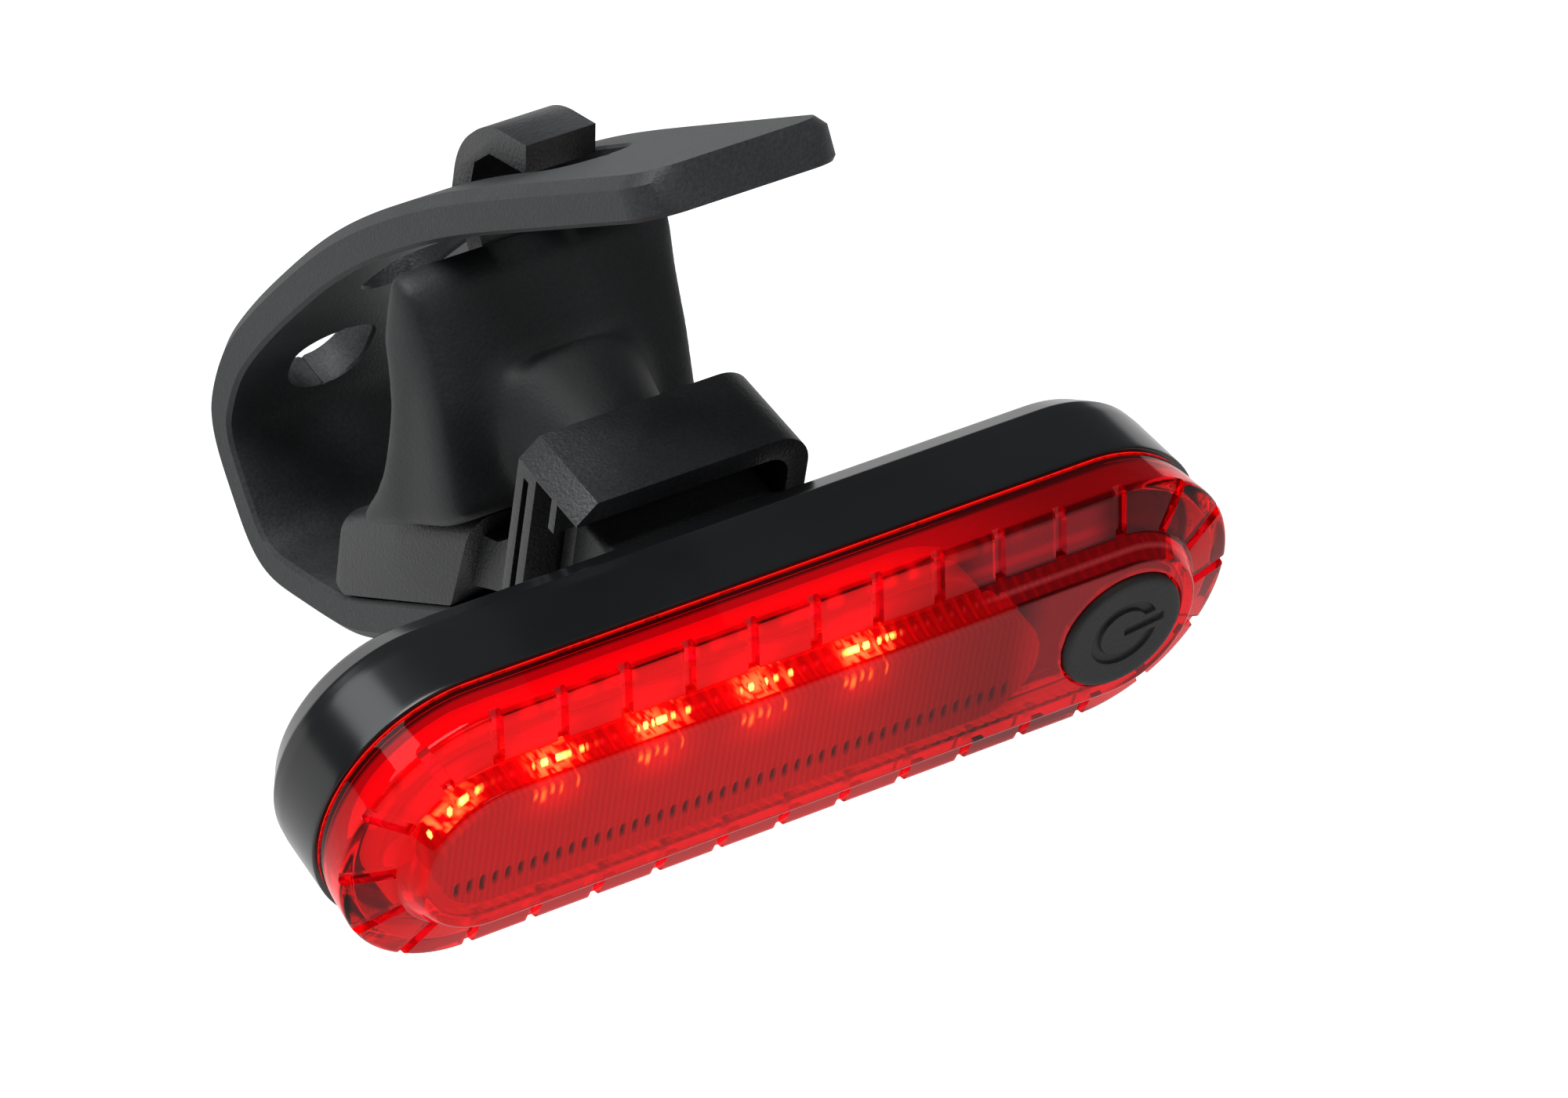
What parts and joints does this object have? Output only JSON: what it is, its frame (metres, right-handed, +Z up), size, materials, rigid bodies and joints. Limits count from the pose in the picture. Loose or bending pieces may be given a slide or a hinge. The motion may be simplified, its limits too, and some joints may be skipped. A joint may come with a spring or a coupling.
{
  "type": "bike light",
  "caption": "Rechargeable rear bike light with a stadium-shaped red lens and round power button, on a dock with a saddle pad and a slotted rubber strap.",
  "frame": {"origin": "on the axis of the tube held in the saddle, midway along the light", "axes": "+X along the light and the tube, -Y the way the lens faces, +Z up"},
  "size_m": [0.0716, 0.0665, 0.0683],
  "materials": {
    "housing_shell": "gloss black moulded plastic",
    "lens_cover": "clear red translucent polycarbonate",
    "lens_seal": "black silicone",
    "optic_strip": "clear ribbed acrylic",
    "led_reflector": "white satin plastic",
    "circuit_board": "green solder mask",
    "led_chips": "white ceramic body with a yellow window",
    "driver_chip": "black moulding compound",
    "board_parts": "brown ceramic",
    "board_screws": "bright steel",
    "tact_switch": "stamped steel cover",
    "switch_plunger": "black plastic",
    "battery_cell": "aluminium laminate pouch",
    "battery_pad": "black foam",
    "battery_tabs": "nickel strip",
    "charging_socket": "stamped steel shell",
    "socket_tongue": "black plastic",
    "port_flap": "black silicone",
    "button_cap": "black rubber with a pressed power symbol",
    "dock_bracket": "textured black glass-filled plastic",
    "saddle_pad": "dark grey rubber",
    "strap_rubber": "dark grey rubber, dusty"
  },
  "bodies": {
    "mount": {"dock_bracket": "dock_bracket", "saddle_pad": "saddle_pad", "strap_root": "strap_rubber"},
    "strap": {"strap_run": "strap_rubber"},
    "light": {"housing_shell": "housing_shell", "lens_cover": "lens_cover", "lens_seal": "lens_seal", "optic_strip": "optic_strip", "led_reflector": "led_reflector", "circuit_board": "circuit_board", "led_chips": "led_chips", "driver_chip": "driver_chip", "board_parts": "board_parts", "board_screws": "board_screws", "tact_switch": "tact_switch", "battery_cell": "battery_cell", "battery_pad": "battery_pad", "battery_tabs": "battery_tabs", "charging_socket": "charging_socket", "socket_tongue": "socket_tongue"},
    "button": {"button_cap": "button_cap", "switch_plunger": "switch_plunger"},
    "port_cover": {"port_flap": "port_flap"}
  },
  "joints": [
    {"name": "light_slide", "type": "slide", "parent": "mount", "child": "light", "axis": [-1, 0, 0], "range_m": [0, 0.02]},
    {"name": "button_press", "type": "slide", "parent": "light", "child": "button", "axis": [0, 1, 0], "range_m": [0, 0.0005], "stiffness_N_per_m": 1500, "springref_m": -0.0004},
    {"name": "flap_open", "type": "hinge", "parent": "light", "child": "port_cover", "pos_m": [0.007, -0.0435, -0.00997], "axis": [0, 1, 0], "range_deg": [0, 100], "stiffness_Nm_per_rad": 0.0004, "springref_deg": -11.46},
    {"name": "strap_open", "type": "hinge", "parent": "mount", "child": "strap", "pos_m": [0, 0.0073, -0.0068], "axis": [-1, 0, 0], "range_deg": [0, 65], "stiffness_Nm_per_rad": 0.03, "springref_deg": -11.46}
  ]
}
